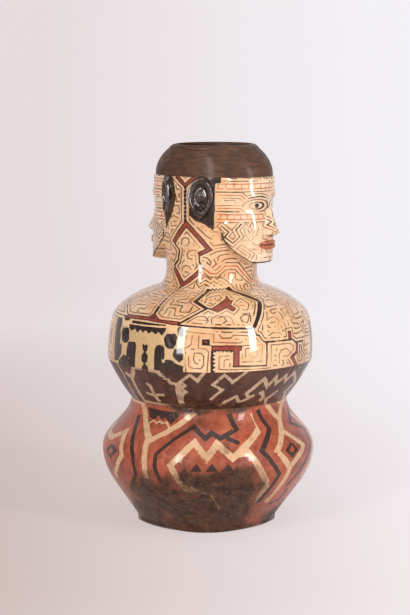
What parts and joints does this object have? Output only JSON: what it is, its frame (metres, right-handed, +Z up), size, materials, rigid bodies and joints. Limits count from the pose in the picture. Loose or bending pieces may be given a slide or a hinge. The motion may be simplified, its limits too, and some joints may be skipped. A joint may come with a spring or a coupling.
{
  "type": "anthropomorphic vase",
  "caption": "Two-faced earthenware jar with a round belly, a banded upper body and a head whose open crown is the mouth.",
  "frame": {"origin": "on the floor, under the middle of the jar's bounding box", "axes": "+Z up along the jar, -Y where the front face looks, +Y where the rear face looks"},
  "size_m": [0.314, 0.314, 0.56],
  "materials": {
    "cream_slip": "burnished earthenware, cream slip painted with fine dark and red lines, clear resin varnish",
    "red_slip": "burnished earthenware, red slip, clear resin varnish",
    "belly_slip": "burnished earthenware, red slip painted with cream and black bands, clear resin varnish",
    "dark_slip": "burnished earthenware, dark brown slip painted with thin cream lines, clear resin varnish",
    "hair_slip": "burnished earthenware, dark brown slip, clear resin varnish",
    "sooted_slip": "bare earthenware, darkened by the firing"
  },
  "bodies": {
    "root": {"base_disc": "sooted_slip", "belly_wall": "belly_slip", "flank_wall": "dark_slip", "band_wall": "cream_slip", "shoulder_wall": "cream_slip", "neck_wall": "cream_slip", "head_wall": "cream_slip", "crown_wall": "hair_slip", "mouth_rim": "hair_slip", "front_face": "cream_slip", "rear_face": "cream_slip", "front_nose": "cream_slip", "rear_nose": "cream_slip", "front_upper_lip": "red_slip", "front_lower_lip": "red_slip", "rear_upper_lip": "red_slip", "rear_lower_lip": "red_slip", "front_left_ear": "hair_slip", "front_right_ear": "hair_slip", "rear_left_ear": "hair_slip", "rear_right_ear": "hair_slip"}
  },
  "joints": []
}
